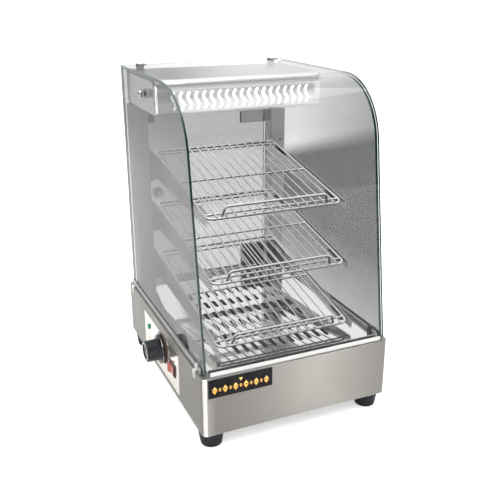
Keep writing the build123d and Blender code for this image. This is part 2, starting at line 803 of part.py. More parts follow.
# ---------------------------------------------------------------- hood
def hood_outline(inset):
    """(Y, Z) outline of the hood, rounded at its front."""
    y = (hood_y[0] + inset, hood_y[1] - inset)
    z = (hood_z[0] + inset, hood_z[1] - inset)
    outline = polygon([(y[0], z[0]), (y[0], z[1]), (y[1], z[1]), (y[1], z[0])])
    rounds = {
        (y[0], z[1]): hood_front_top_radius,
        (y[0], z[0]): hood_front_bottom_radius,
        (y[1], z[1]): hood_rear_radius,
        (y[1], z[0]): hood_rear_radius,
    }
    for corner, radius in rounds.items():
        vertex = outline.vertices().sort_by_distance((*corner, 0))[0]
        outline = fillet(vertex, radius - inset)
    return outline


def wisp():
    """S-shaped slot, like a curl of steam."""
    lower = ThreePointArc((0, -14), (3.2, -7), (0, 0))
    upper = ThreePointArc((0, 0), (-3.2, 7), (0, 14))
    return SlotArc(lower, 5.0) + SlotArc(upper, 5.0)


def hood_shell():
    """Folded lamp housing with a row of lit wisps in its front, open underneath."""
    half = hood_half_x - hood_end_round
    shell = across_x(hood_outline(thin_sheet) - hood_outline(2 * thin_sheet), (-half, half))
    mouth_x = (-hood_mouth_half_x, hood_mouth_half_x)
    shell = shell - block(mouth_x, hood_mouth_y, (hood_z[0] - 5, hood_z[0] + 5))
    wisp_origin = (wisp_centre[0], hood_y[0] + 10, wisp_centre[1])
    front = Plane(origin=wisp_origin, x_dir=(1, 0, 0), z_dir=(0, -1, 0))
    curl = wisp()
    for place in GridLocations(wisp_pitch, 1, wisp_count, 1):
        shell = shell - extrude(front * place * curl, amount=20)
    for x in top_clip_x:
        shell = shell - top_clip_hole(x)
    return shell - lamp_lead_cutter()


def lamp_lead_cutter():
    """Hole for the lamp's lead in the hood's floor."""
    start = (*lamp_lead_xy, hood_z[0] - 2)
    return rod(start, (*lamp_lead_xy, hood_z[0] + 5), lamp_lead_hole)


def rounded_end(inset, x):
    """Block with the hood's outline, its outer end at x[1] rounded all the way round."""
    solid = across_x(hood_outline(inset), x)
    rim = solid.edges().group_by(Axis.X)[-1 if x[1] > x[0] else 0]
    return fillet(rim, hood_end_round - inset)


def hood_end(side):
    """Pressed cap over an end of the hood, with a rounded rim."""
    outer_face = side * hood_half_x
    plate_face = side * (hood_half_x - thin_sheet)
    rim_face = side * (hood_half_x - thin_sheet - hood_cap_depth)
    cap = rounded_end(0, (rim_face, outer_face)) - rounded_end(thin_sheet, (rim_face, plate_face))
    cap = cap - rod((side * 150, *cap_screw_yz), (side * 170, *cap_screw_yz), 3.2)
    return cap - lamp_lead_cutter() if side < 0 else cap


def sign_diffuser():
    """White strip behind the wisps."""
    inner = hood_y[0] + 2 * thin_sheet
    return block((-146, 146), (inner, inner + 3), (536, 574))


def lamp_tube():
    """Fluorescent tube between its two sockets."""
    y, z = lamp_axis_yz
    return rod((-lamp_half_length, y, z), (lamp_half_length, y, z), lamp_radius)


def lamp_holders():
    """Sockets at both ends of the lamp, hung from the hood's top."""
    y, z = lamp_axis_yz
    top = hood_z[1] - 2 * thin_sheet
    holders = []
    for side in (-1, 1):
        x = sorted((side * lamp_half_length, side * (lamp_half_length + 9)))
        holders.append(block(x, (y - 11, y + 11), (z - 12, top)))
    return group(holders)


# ---------------------------------------------------------------- door
def door_glass():
    """Door pane with a notch at each hinge corner and a hole for the knob."""
    x_axis, y_axis = door_axis
    y = (y_axis - glass / 2, y_axis + glass / 2)
    pane = block((-door_half_x, door_half_x), y, door_z)
    notch_x = (x_axis - notch_reach, door_half_x + 1)
    pane = pane - block(notch_x, y, (door_z[0] - 1, door_z[0] + notch_height))
    pane = pane - block(notch_x, y, (door_z[1] - notch_height, door_z[1] + 1))
    knob_x, knob_z = door_knob_xz
    return pane - rod((knob_x, y[0] - 1, knob_z), (knob_x, y[1] + 1, knob_z), 3.4)


def door_patch(z, core_z, bore_z):
    """Hinge patch: two plates on the pane and a core, bored for the pivot pin."""
    x_axis, y_axis = door_axis
    half = glass / 2
    x = (patch_low_x, door_half_x)
    front = block(x, (y_axis - half - patch_plate, y_axis - half), z)
    rear = block(x, (y_axis + half, y_axis + half + patch_plate), z)
    front = fillet(front.edges().group_by(Axis.Y)[0], 1.2)
    rear = fillet(rear.edges().group_by(Axis.Y)[-1], 1.2)
    core = block((x_axis - notch_reach, door_half_x), (y_axis - half, y_axis + half), core_z)
    bore = rod((x_axis, y_axis, bore_z[0]), (x_axis, y_axis, bore_z[1]), pivot_radius + running_clearance)
    return front + rear + core - bore


def door_hinge_patches():
    low, high = door_z
    bottom = door_patch((low, low + patch_height), (low, low + notch_height), (low - 1, low + 13))
    top = door_patch((high - patch_height, high), (high - notch_height, high), (high + 1, high - 13))
    return group([bottom, top])


def door_pivot_pins():
    """Flanged pins on the base and under the hood, which the patches turn on."""
    x, y = door_axis
    hood_floor = hood_z[0] + thin_sheet
    pins = []
    for seat, inward, tip in ((base_top, 1, door_z[0] + 12), (hood_floor, -1, door_z[1] - 12)):
        flange = rod((x, y, seat), (x, y, seat + inward * 1.6), 9.0)
        pins.append(flange + rod((x, y, seat), (x, y, tip), pivot_radius))
    return group(pins)


def door_knob():
    """Round pull on the outside of the pane."""
    x, z = door_knob_xz
    start = door_axis[1] + glass / 2
    stem = rod((x, start, z), (x, start + 8, z), 5.5)
    head = rod((x, start + 7, z), (x, start + 22, z), 11.0)
    head = fillet(head.edges().filter_by(GeomType.CIRCLE), 3.0)
    return stem + head - rod((x, start, z), (x, start + 12, z), 3.0)


def door_knob_screw():
    x, z = door_knob_xz
    start = door_axis[1] - glass / 2
    return pan_screw((x, start, z), (0, 1, 0), 6.5, 2.4, 3.0, glass + 12)


def door_catch():
    """Magnetic catch on the left post."""
    rear = door_axis[1] - glass / 2 - thin_sheet - touch_gap
    return block((-post_inner_x, -119.0), (rear - 12, rear), (488.0, 514.0))


def door_strike():
    """Steel plate on the pane, which the catch holds."""
    inner = door_axis[1] - glass / 2
    return block((-129.0, -113.0), (inner - thin_sheet, inner), (490.0, 512.0))


# ---------------------------------------------------------------- assembly
def all_parts():
    parts = {
        "base_shell": base_shell(),
        "base_bottom_plate": base_bottom_plate(),
        "rubber_feet": rubber_feet(),
        "foot_screws": foot_screws(),
        "deck_plate": deck_plate(),
        "heat_tray": heat_tray(),
        "heating_element": heating_element(),
        "element_brackets": element_brackets(),
        "control_label": control_label(),
        "thermostat_body": thermostat_body(),
        "thermostat_shaft": thermostat_shaft(),
        "thermostat_knob": thermostat_knob(),
        "thermostat_bulb": thermostat_bulb(),
        "rocker_switch_body": rocker_switch_body(),
        "rocker_switch_button": rocker_switch_button(),
        "indicator_lens": indicator_lens(),
        "indicator_body": indicator_body(),
        "front_badge": front_badge(),
        "cord_gland": cord_gland(),
        "terminal_block": terminal_block(),
        "internal_wiring": internal_wiring(),
        "front_glass": front_glass(),
        "glass_channel_front": glass_channel_front(),
        "glass_corner_clips": glass_corner_clips(),
        "top_rear_clips": top_rear_clips(),
        "clip_pads": clip_pads(),
        "clip_screws": clip_screws(),
        "glass_cap_screws": group([glass_cap_screw(-1), glass_cap_screw(1)]),
        "glass_washers": glass_washers(),
        "hood_shell": hood_shell(),
        "sign_diffuser": sign_diffuser(),
        "lamp_tube": lamp_tube(),
        "lamp_holders": lamp_holders(),
        "door_glass": door_glass(),
        "door_hinge_patches": door_hinge_patches(),
        "door_pivot_pins": door_pivot_pins(),
        "door_knob": door_knob(),
        "door_knob_screw": door_knob_screw(),
        "door_catch": door_catch(),
        "door_strike": door_strike(),
    }
    for word, side in (("left", -1), ("right", 1)):
        parts[f"rear_post_{word}"] = rear_post(side)
        parts[f"side_glass_{word}"] = side_glass(side)
        parts[f"glass_channel_{word}"] = glass_channel_side(side)
        parts[f"hood_end_{word}"] = hood_end(side)
        for level in levels:
            parts[f"{level}_bracket_{word}"] = shelf_bracket(level, side)
    for level in levels:
        rack = wire_shelf(level)
        parts[f"{level}_shelf"] = rack
        parts[f"{level}_shelf_guard"] = shelf_guard(level, rack)
    return parts


def main():
    os.makedirs("parts", exist_ok=True)
    for name, shape in all_parts().items():
        export_step(shape, f"parts/{name}.step")


main()
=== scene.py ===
import math

import bmesh
import bpy
from mathutils import Matrix, Vector


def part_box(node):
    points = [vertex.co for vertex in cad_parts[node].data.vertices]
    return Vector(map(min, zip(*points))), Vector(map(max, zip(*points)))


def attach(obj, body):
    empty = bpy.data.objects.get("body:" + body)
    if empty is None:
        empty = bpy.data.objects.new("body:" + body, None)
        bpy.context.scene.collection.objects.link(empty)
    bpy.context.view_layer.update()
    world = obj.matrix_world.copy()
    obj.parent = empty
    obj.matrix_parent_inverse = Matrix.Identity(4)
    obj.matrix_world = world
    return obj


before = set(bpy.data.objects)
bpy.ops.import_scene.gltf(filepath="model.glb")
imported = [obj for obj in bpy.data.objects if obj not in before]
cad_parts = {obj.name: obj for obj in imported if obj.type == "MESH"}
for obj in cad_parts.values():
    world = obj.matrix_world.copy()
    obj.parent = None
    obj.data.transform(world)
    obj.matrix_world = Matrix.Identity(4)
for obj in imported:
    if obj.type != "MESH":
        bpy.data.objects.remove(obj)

# Looks of a countertop hot food display case: procedural materials on the CAD pieces, a few
# fine pieces the CAD leaves out, a pale studio and the camera. Metres, in the CAD's frame:
# the front faces -Y, +X is on the right of a person who faces the front, +Z is up.

MM = 0.001
COLOUR_A, COLOUR_B, COLOUR_RESULT = 6, 7, 2  # a Mix node's colour sockets
HOOD_FOLD_Y = 0.0405
HOOD_REAR_Y = 0.2085
GLASS_REAR_Y = 0.2095
FOIL = 0.25 * MM  # thickness of the badge's print
ANGLES = [math.radians(10.0 * step) for step in range(36)]  # round a printed dot
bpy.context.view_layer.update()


# ---------------------------------------------------------------- node graphs
class Graph:
    """A material and short ways to build its nodes."""

    def __init__(self, name):
        self.material = bpy.data.materials.new(name)
        self.material.use_nodes = True
        self.tree = self.material.node_tree
        self.tree.nodes.clear()
        self.output = self.tree.nodes.new("ShaderNodeOutputMaterial")
        self.coordinates = self.node("TexCoord").outputs["Object"]

    def node(self, kind, inputs=None, **settings):
        made = self.tree.nodes.new("ShaderNode" + kind)
        for key, value in settings.items():
            setattr(made, key, value)
        for key, value in (inputs or {}).items():
            self.feed(made.inputs[key], value)
        return made

    def feed(self, socket, value):
        if isinstance(value, bpy.types.NodeSocket):
            self.tree.links.new(value, socket)
        else:
            socket.default_value = value

    def math(self, operation, *values, clamp=False):
        return self.node("Math", dict(enumerate(values)), operation=operation, use_clamp=clamp).outputs[0]

    def stretched(self, scale, offset=(0, 0, 0)):
        """Object coordinates scaled by different amounts along X, Y and Z."""
        mapping = self.node("Mapping", {"Vector": self.coordinates, "Scale": scale, "Location": offset})
        return mapping.outputs["Vector"]

    def noise(self, scale, vector=None, detail=4.0, roughness=0.55, distortion=0.0):
        inputs = {
            "Vector": self.coordinates if vector is None else vector,
            "Scale": scale,
            "Detail": detail,
            "Roughness": roughness,
            "Distortion": distortion,
        }
        return self.node("TexNoise", inputs).outputs["Fac"]

    def remap(self, value, low, high, out_low=0.0, out_high=1.0):
        inputs = {"Value": value, "From Min": low, "From Max": high, "To Min": out_low, "To Max": out_high}
        return self.node("MapRange", inputs).outputs["Result"]

    def mix(self, share, first, second):
        """Colour between two colours."""
        made = self.node("Mix", data_type="RGBA")
        self.feed(made.inputs["Factor"], share)
        self.feed(made.inputs[COLOUR_A], first)
        self.feed(made.inputs[COLOUR_B], second)
        return made.outputs[COLOUR_RESULT]

    def multiply(self, first, second):
        made = self.node("Mix", data_type="RGBA", blend_type="MULTIPLY")
        made.inputs["Factor"].default_value = 1.0
        self.feed(made.inputs[COLOUR_A], first)
        self.feed(made.inputs[COLOUR_B], second)
        return made.outputs[COLOUR_RESULT]

    def bump(self, height, distance, strength=1.0, below=None):
        inputs = {"Height": height, "Distance": distance, "Strength": strength}
        if below is not None:
            inputs["Normal"] = below
        return self.node("Bump", inputs).outputs["Normal"]

    def grey(self, strength):
        """Grey of a strength made by other nodes."""
        return self.node("CombineColor", {0: strength, 1: strength, 2: strength}).outputs[0]

    def axis_share(self, axis, low=0.6, high=0.9):
        """1 where the surface faces along an axis, 0 where it faces across it."""
        normal = self.node("TexCoord").outputs["Normal"]
        part = self.node("SeparateXYZ", {0: normal}).outputs[axis]
        return self.remap(self.math("ABSOLUTE", part), low, high)

    def surface(self, **inputs):
        """Principled surface from keyword names such as base_color."""
        shader = self.node("BsdfPrincipled")
        for key, value in inputs.items():
            self.feed(shader.inputs[key.replace("_", " ").title().replace("Ior", "IOR")], value)
        return shader

    def finish(self, shader):
        self.tree.links.new(shader.outputs[0], self.output.inputs["Surface"])
        return self.material


def colour(red, green, blue):
    return (red, green, blue, 1.0)


# ---------------------------------------------------------------- metals
def edge_wear_and_highlight(graph, radius):
    """1 along convex edges within a radius, 0 on flat faces."""
    bevelled = graph.node("Bevel", {"Radius": radius}, samples=4).outputs["Normal"]
    flat = graph.node("NewGeometry").outputs["Normal"]
    dot = graph.node("VectorMath", {0: bevelled, 1: flat}, operation="DOT_PRODUCT").outputs["Value"]
    return graph.remap(dot, 0.995, 0.9)


def brushed_steel(
    name, tone, grain_scale, rough, across=(0, 0.05, 1), spread=1.0, contrast=0.10, shading=None
):
    """Brushed sheet: fine parallel grain, soft smudges and brighter edges, partly wear and partly a painted
    highlight.

    shading, when given, makes a colour of painted light and shade from the graph that the sheet's own is
    multiplied by.
    """
    graph = Graph(name)
    side_grain = graph.noise(1.0, graph.stretched(grain_scale), detail=3.0, roughness=0.7)
    top_grain = graph.noise(1.0, graph.stretched((4, 700, 4)), detail=3.0, roughness=0.7)
    facing_up = graph.axis_share("Z")
    grain = graph.node("Mix", {0: facing_up, 2: side_grain, 3: top_grain}).outputs[0]
    smudge = graph.noise(9.0, detail=5.0, roughness=0.6)
    low = colour(*[v * (1.0 - contrast) for v in tone])
    high = colour(*[min(1.0, v * (1.0 + contrast)) for v in tone])
    base = graph.mix(graph.remap(grain, 0.3, 0.7), low, high)
    base = graph.mix(graph.remap(smudge, 0.35, 0.75, 0.0, 0.12), base, colour(*[v * 0.78 for v in tone]))
    # Brighter convex edges: partly wear, partly a painted highlight.
    edge = edge_wear_and_highlight(graph, 0.0012)
    base = graph.mix(graph.math("MULTIPLY", edge, 0.5), base, colour(0.86, 0.85, 0.83))
    if shading is not None:
        base = graph.multiply(base, shading(graph))
    roughness = graph.remap(grain, 0.25, 0.75, *rough)
    roughness = graph.math("ADD", roughness, graph.remap(smudge, 0.4, 0.7, 0.0, 0.06))
    normal = graph.bump(grain, 0.00004, 0.35)
    normal = graph.bump(graph.noise(14.0, detail=1.0), 0.0006, 0.05, normal)
    stretch = graph.node("CombineXYZ", {0: across[0], 1: across[1], 2: across[2]}).outputs[0]
    shader = graph.surface(base_color=base, metallic=1.0, roughness=roughness, normal=normal, tangent=stretch)
    shader.inputs["Anisotropic"].default_value = spread
    return graph.finish(shader)


def hood_painted_light_and_shade(graph):
    """Painted reflection and light: darker round the wisps' upper half and on top at the left, brighter on
    the ends, with dark lines at the fold and the rear.
    """
    place = graph.node("SeparateXYZ", {0: graph.coordinates}).outputs
    rise = graph.remap(place["Z"], 0.549, 0.560)
    fall = graph.remap(place["Z"], 0.569, 0.577, 1.0, 0.0)
    sheet_only = graph.remap(place["X"], 0.146, 0.150, 1.0, 0.0)
    front = graph.axis_share("Y", 0.75, 0.97)
    wisp_band = graph.math("MULTIPLY", graph.math("MULTIPLY", rise, fall), sheet_only)
    left_cap = graph.remap(place["X"], -0.150, -0.143, 0.1, 0.0)
    # Painted reflection: a darker band round the wisps' upper half and at the left end of the front.
    painted_dark_reflection = graph.math("MULTIPLY", graph.math("MAXIMUM", wisp_band, left_cap), front)
    # Painted light: the ends are brighter than the front.
    side = graph.axis_share("X", 0.9, 0.99)
    tone = graph.mix(side, colour(1.06, 1.06, 1.06), colour(1.32, 1.31, 1.30))
    tone = graph.mix(painted_dark_reflection, tone, colour(0.58, 0.57, 0.565))
    # Painted reflection on top: darker at the left, lighter towards the right.
    normal = graph.node("SeparateXYZ", {0: graph.node("TexCoord").outputs["Normal"]}).outputs["Z"]
    top = graph.remap(normal, 0.93, 0.99)
    across = graph.remap(place["X"], -0.16, 0.11, 0.32, 0.84)
    tone = graph.mix(top, tone, graph.grey(across))
    upward = graph.remap(normal, 0.7, 0.9)
    from_fold = graph.math("ABSOLUTE", graph.math("SUBTRACT", place["Y"], HOOD_FOLD_Y))
    fold = graph.math("MULTIPLY", graph.remap(from_fold, 0.0014, 0.0024, 0.9, 0.0), upward)
    rear = graph.remap(place["Y"], HOOD_REAR_Y, HOOD_REAR_Y + 2 * MM, 0.0, 0.75)
    rear = graph.math("MULTIPLY", rear, upward)
    return graph.mix(graph.math("MAXIMUM", fold, rear), tone, colour(0.05, 0.05, 0.05))


def base_painted_highlight(graph):
    """Painted highlight: brighter on the front beside its left corner."""
    place = graph.node("SeparateXYZ", {0: graph.coordinates}).outputs
    front = graph.axis_share("Y", 0.75, 0.97)
    near_corner = graph.remap(place["X"], -0.176, -0.156, 1.0, 0.0)
    share = graph.math("MULTIPLY", front, near_corner)
    return graph.mix(share, colour(1.0, 1.0, 1.0), colour(1.7, 1.7, 1.7))


def mirror_sheet(name, tone):
    """Bright rolled sheet, slightly wavy, with fine scratches from trays."""
    graph = Graph(name)
    scratches = graph.noise(1.0, graph.stretched((900, 18, 40)), detail=4.0, roughness=0.8)
    film = graph.noise(16.0, detail=6.0, roughness=0.62)
    base = graph.mix(graph.remap(film, 0.4, 0.75, 0.0, 0.2), colour(*tone), colour(*[v * 0.82 for v in tone]))
    roughness = graph.remap(scratches, 0.45, 0.8, 0.04, 0.12)
    roughness = graph.math("ADD", roughness, graph.remap(film, 0.45, 0.8, 0.0, 0.05))
    normal = graph.bump(graph.noise(11.0, detail=1.0), 0.0012, 0.10)
    normal = graph.bump(scratches, 0.00002, 0.3, normal)
    shader = graph.surface(base_color=base, roughness=roughness, normal=normal)
    shader.inputs["Metallic"].default_value = 0.97
    return graph.finish(shader)


def chrome(name, tone, rough=(0.05, 0.16), grime=0.35, painted_shade_below=1.0, metallic=1.0, lit=(-0.1, 0.6)):
    """Bright plating with light haze and slight unevenness; painted shade darkens the sides and undersides.
    """
    graph = Graph(name)
    haze = graph.noise(120.0, detail=4.0, roughness=0.6)
    patch = graph.noise(26.0, detail=3.0)
    base = graph.mix(graph.remap(patch, 0.45, 0.8, 0.0, grime), colour(*tone), colour(0.42, 0.40, 0.38))
    # Painted shade: the sides and undersides are darker than the top.
    upward = graph.node("SeparateXYZ", {0: graph.node("TexCoord").outputs["Normal"]}).outputs["Z"]
    share = graph.remap(upward, *lit)
    base = graph.mix(share, graph.multiply(base, colour(painted_shade_below, painted_shade_below, painted_shade_below)), base)
    roughness = graph.remap(haze, 0.3, 0.75, *rough)
    normal = graph.bump(haze, 0.00003, 0.35)
    shader = graph.surface(base_color=base, roughness=roughness, normal=normal)
    shader.inputs["Metallic"].default_value = metallic
    return graph.finish(shader)


def aluminium(name, tone):
    """Satin extrusion with draw lines along its length and oxide haze."""
    graph = Graph(name)
    lines = graph.noise(1.0, graph.stretched((60, 60, 2600)), detail=2.0)
    haze = graph.noise(40.0, detail=5.0, roughness=0.65)
    base = graph.mix(graph.remap(lines, 0.35, 0.65), colour(*[v * 0.88 for v in tone]), colour(*tone))
    base = graph.mix(graph.remap(haze, 0.45, 0.8, 0.0, 0.2), base, colour(0.45, 0.46, 0.47))
    roughness = graph.remap(haze, 0.3, 0.7, 0.24, 0.38)
    normal = graph.bump(lines, 0.00003, 0.5)
    return graph.finish(graph.surface(base_color=base, metallic=1.0, roughness=roughness, normal=normal))


def galvanised(name):
    """Zinc-coated sheet with faint angular spangle."""
    graph = Graph(name)
    spangle = graph.node("TexVoronoi", {"Vector": graph.coordinates, "Scale": 95.0}).outputs["Color"]
    flake = graph.node("SeparateColor", {0: spangle}).outputs[0]
    cloud = graph.noise(22.0, detail=5.0)
    base = graph.mix(graph.remap(flake, 0.0, 1.0), colour(0.05, 0.05, 0.052), colour(0.09, 0.092, 0.095))
    base = graph.mix(graph.remap(cloud, 0.45, 0.75, 0.0, 0.3), base, colour(0.035, 0.035, 0.035))
    roughness = graph.remap(flake, 0.0, 1.0, 0.34, 0.5)
    normal = graph.bump(cloud, 0.0001, 0.3)
    return graph.finish(graph.surface(base_color=base, metallic=1.0, roughness=roughness, normal=normal))


def element_sheath(name):
    """Nickel alloy sheath, heat-tinted in bands."""
    graph = Graph(name)
    tint = graph.noise(18.0, detail=3.0)
    scale = graph.noise(220.0, detail=5.0, roughness=0.7)
    base = graph.mix(graph.remap(tint, 0.35, 0.65), colour(0.16, 0.13, 0.11), colour(0.26, 0.24, 0.27))
    base = graph.mix(graph.remap(scale, 0.5, 0.75, 0.0, 0.6), base, colour(0.07, 0.065, 0.06))
    roughness = graph.remap(scale, 0.3, 0.7, 0.42, 0.7)
    normal = graph.bump(scale, 0.0001, 0.5)
    return graph.finish(graph.surface(base_color=base, metallic=0.8, roughness=roughness, normal=normal))


# ---------------------------------------------------------------- glass and plastics
def pane(
    name,
    inside,
    outside,
    wall_axis,
    edge_axis,
    edge_is_across,
    slope=0.0,
    pale_from=0.440,
    mirror=1.0,
    foot=1.0,
    seam=1.0,
):
    """Tempered pane with a smoke film and teal edges; a painted reflection makes the film paler towards the
    top and the rear.

    inside holds the share of light that the inner face passes: low down, high up at the front
    and high up at the rear. outside is the outer face's share, and mirror its reflection. The
    paler part, a painted reflection, starts at the height pale_from, lower by slope times the
    distance to the rear. foot brightens the lowest part with painted light, and seam darkens
    the strip along the rear edge.
    """
    graph = Graph(name)
    geometry = graph.node("NewGeometry").outputs
    behind = geometry["Backfacing"]
    place = graph.node("SeparateXYZ", {0: graph.coordinates}).outputs
    normal = graph.node("SeparateXYZ", {0: graph.node("TexCoord").outputs["Normal"]}).outputs
    outward = graph.math("MULTIPLY", place[wall_axis], normal[wall_axis])
    seen_inside = graph.math("LESS_THAN", outward, 0.0)
    height = graph.math("ADD", place["Z"], graph.math("MULTIPLY", place["Y"], slope))
    # Painted reflection: the film passes more light higher up and towards the rear.
    pale = {"Value": height, "From Min": pale_from, "From Max": pale_from + 0.042}
    pale = graph.node("MapRange", pale, interpolation_type="SMOOTHSTEP")
    low, high_front, high_rear = (colour(v, v * 1.01, v * 1.01) for v in inside)
    # Painted light: the lowest part passes more light, by the factor foot.
    near_foot = graph.remap(place["Z"], 0.145, 0.29, 1.0, 0.0)
    low = graph.mix(near_foot, low, graph.multiply(low, colour(foot, foot, foot)))
    high = graph.mix(graph.remap(place["Y"], -0.15, 0.13), high_front, high_rear)
    direct = graph.node("LightPath").outputs["Is Camera Ray"]
    indirect_tint = colour(0.58, 0.58, 0.58)
    inner_tint = graph.mix(direct, indirect_tint, graph.mix(pale.outputs[0], low, high))
    tint = graph.mix(seen_inside, colour(outside, outside * 1.01, outside), inner_tint)
    open_glass = graph.remap(place["Y"], GLASS_REAR_Y, GLASS_REAR_Y + 3 * MM, 1.0, seam)
    tint = graph.multiply(tint, graph.grey(open_glass))
    through = graph.mix(behind, tint, colour(1.0, 1.0, 1.0))
    clear = graph.node("BsdfTransparent", {"Color": through})
    smear = graph.noise(7.0, detail=5.0, roughness=0.65)
    haze = graph.remap(smear, 0.35, 0.8, 0.015, 0.06)
    gloss = graph.node("BsdfGlossy", {"Color": colour(1.0, 1.0, 1.0), "Roughness": haze})
    fresnel = graph.node("Fresnel", {"IOR": 1.45}).outputs[0]
    coating = graph.remap(seen_inside, 0.0, 1.0, mirror, 0.2)
    mirrored = graph.math("MULTIPLY", fresnel, graph.math("SUBTRACT", 1.0, behind))
    mirrored = graph.math("MULTIPLY", graph.math("MULTIPLY", mirrored, coating), open_glass)
    face = graph.node("MixShader", {0: mirrored, 1: clear.outputs[0], 2: gloss.outputs[0]})
    mottle = graph.noise(160.0, detail=3.0)
    deep_teal, pale_teal = colour(0.005, 0.022, 0.024), colour(0.024, 0.066, 0.070)
    teal = graph.mix(graph.remap(mottle, 0.35, 0.7), deep_teal, pale_teal)
    edge = graph.surface(base_color=teal, roughness=0.16, specular_ior_level=0.6)
    share = graph.axis_share(edge_axis, 0.45, 0.55)
    if edge_is_across:
        share = graph.math("SUBTRACT", 1.0, share)
    both = graph.node("MixShader", {0: share, 1: face.outputs[0], 2: edge.outputs[0]})
    return graph.finish(both)


def rubber(name):
    """Moulded rubber: near black with a blue cast, dusty, finely pebbled; the top pads are a faded grey."""
    graph = Graph(name)
    pebble = graph.noise(900.0, detail=3.0)
    dust = graph.noise(60.0, detail=5.0, roughness=0.7)
    clean_black, dusty_black = colour(0.007, 0.008, 0.011), colour(0.03, 0.03, 0.033)
    base = graph.mix(graph.remap(dust, 0.5, 0.8, 0.0, 0.4), clean_black, dusty_black)
    height = graph.node("SeparateXYZ", {0: graph.coordinates}).outputs["Z"]
    faded = graph.mix(dust, colour(0.22, 0.225, 0.23), colour(0.4, 0.4, 0.41))
    base = graph.mix(graph.remap(height, 0.50, 0.52), base, faded)
    roughness = graph.remap(pebble, 0.3, 0.7, 0.42, 0.6)
    normal = graph.bump(pebble, 0.00008, 0.5)
    shader = graph.surface(base_color=base, roughness=roughness, normal=normal)
    shader.inputs["Specular IOR Level"].default_value = 0.25
    return graph.finish(shader)


def moulded_plastic(name, tone, rough=(0.28, 0.42), grain=1400.0, depth=0.00004, shine=0.5):
    """Moulded plastic with a fine spark-eroded texture and faint handling marks."""
    graph = Graph(name)
    texture = graph.noise(grain, detail=2.0)
    marks = graph.noise(45.0, detail=6.0, roughness=0.7)
    low = colour(*[v * 0.85 for v in tone])
    high = colour(*[min(1.0, v * 1.15 + 0.01) for v in tone])
    base = graph.mix(graph.remap(marks, 0.35, 0.7), low, high)
    roughness = graph.remap(texture, 0.3, 0.7, *rough)
    roughness = graph.math("ADD", roughness, graph.remap(marks, 0.5, 0.8, 0.0, 0.08))
    normal = graph.bump(texture, depth, 0.5)
    shader = graph.surface(base_color=base, roughness=roughness, normal=normal)
    shader.inputs["Specular IOR Level"].default_value = shine
    return graph.finish(shader)


def lens_plastic(name, tone, glow, strength):
    """Translucent lens, a little brighter where light gathers in it."""
    graph = Graph(name)
    ribs = graph.noise(500.0, detail=1.0)
    cloud = graph.noise(90.0, detail=3.0)
    base = graph.mix(graph.remap(cloud, 0.35, 0.7), colour(*[v * 0.75 for v in tone]), colour(*tone))
    normal = graph.bump(ribs, 0.00005, 0.3)
    roughness = graph.remap(ribs, 0.3, 0.7, 0.12, 0.24)
    shader = graph.surface(base_color=base, roughness=roughness, normal=normal, coat_weight=0.4)
    shader.inputs["Emission Color"].default_value = colour(*glow)
    shader.inputs["Emission Strength"].default_value = strength
    return graph.finish(shader)


def lit_acrylic(name, tone, strength):
    """Opal sheet or tube lit from within, with slight cloudiness."""
    graph = Graph(name)
    cloud = graph.noise(30.0, detail=3.0)
    dark = colour(*[v * 0.93 for v in tone])
    base = graph.mix(graph.remap(cloud, 0.35, 0.7), dark, colour(*tone))
    roughness = graph.remap(cloud, 0.3, 0.7, 0.3, 0.42)
    shader = graph.surface(base_color=base, roughness=roughness, emission_color=base)
    shader.inputs["Emission Strength"].default_value = strength
    return graph.finish(shader)


def printed_film(name, tone):
    """Printed cream film, slightly yellowed and glossy."""
    graph = Graph(name)
    age = graph.noise(20.0, detail=5.0, roughness=0.6)
    fibre = graph.noise(700.0, detail=2.0)
    yellowed = colour(tone[0] * 0.95, tone[1] * 0.92, tone[2] * 0.84)
    base = graph.mix(graph.remap(age, 0.35, 0.75), colour(*tone), yellowed)
    roughness = graph.remap(fibre, 0.3, 0.7, 0.06, 0.12)
    normal = graph.bump(fibre, 0.00001, 0.2)
    shader = graph.surface(base_color=base, roughness=roughness, normal=normal)
    shader.inputs["Metallic"].default_value = 0.90
    return graph.finish(shader)


def silicone_wire(name):
    graph = Graph(name)
    dust = graph.noise(200.0, detail=4.0)
    base = graph.mix(graph.remap(dust, 0.4, 0.7), colour(0.34, 0.05, 0.03), colour(0.22, 0.05, 0.04))
    roughness = graph.remap(dust, 0.3, 0.7, 0.45, 0.65)
    normal = graph.bump(dust, 0.0001, 0.4)
    return graph.finish(graph.surface(base_color=base, roughness=roughness, normal=normal))


def gold_print(name, low_z, high_z):
    """Amber foil print, paler at the top than at the bottom."""
    graph = Graph(name)
    height = graph.node("SeparateXYZ", {0: graph.coordinates}).outputs["Z"]
    fade = graph.remap(height, low_z, high_z)
    foil = graph.noise(300.0, detail=4.0)
    base = graph.mix(fade, colour(0.80, 0.34, 0.04), colour(1.0, 0.74, 0.26))
    base = graph.mix(graph.remap(foil, 0.4, 0.75, 0.0, 0.25), base, colour(0.95, 0.58, 0.12))
    roughness = graph.remap(foil, 0.3, 0.7, 0.25, 0.4)
    return graph.finish(graph.surface(base_color=base, roughness=roughness, metallic=0.35))


# ---------------------------------------------------------------- materials on the CAD nodes
def dress(node, material):
    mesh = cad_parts[node].data
    mesh.materials.clear()
    mesh.materials.append(material)


LEVELS = ("lower", "middle", "upper")
SIDES = ("left", "right")

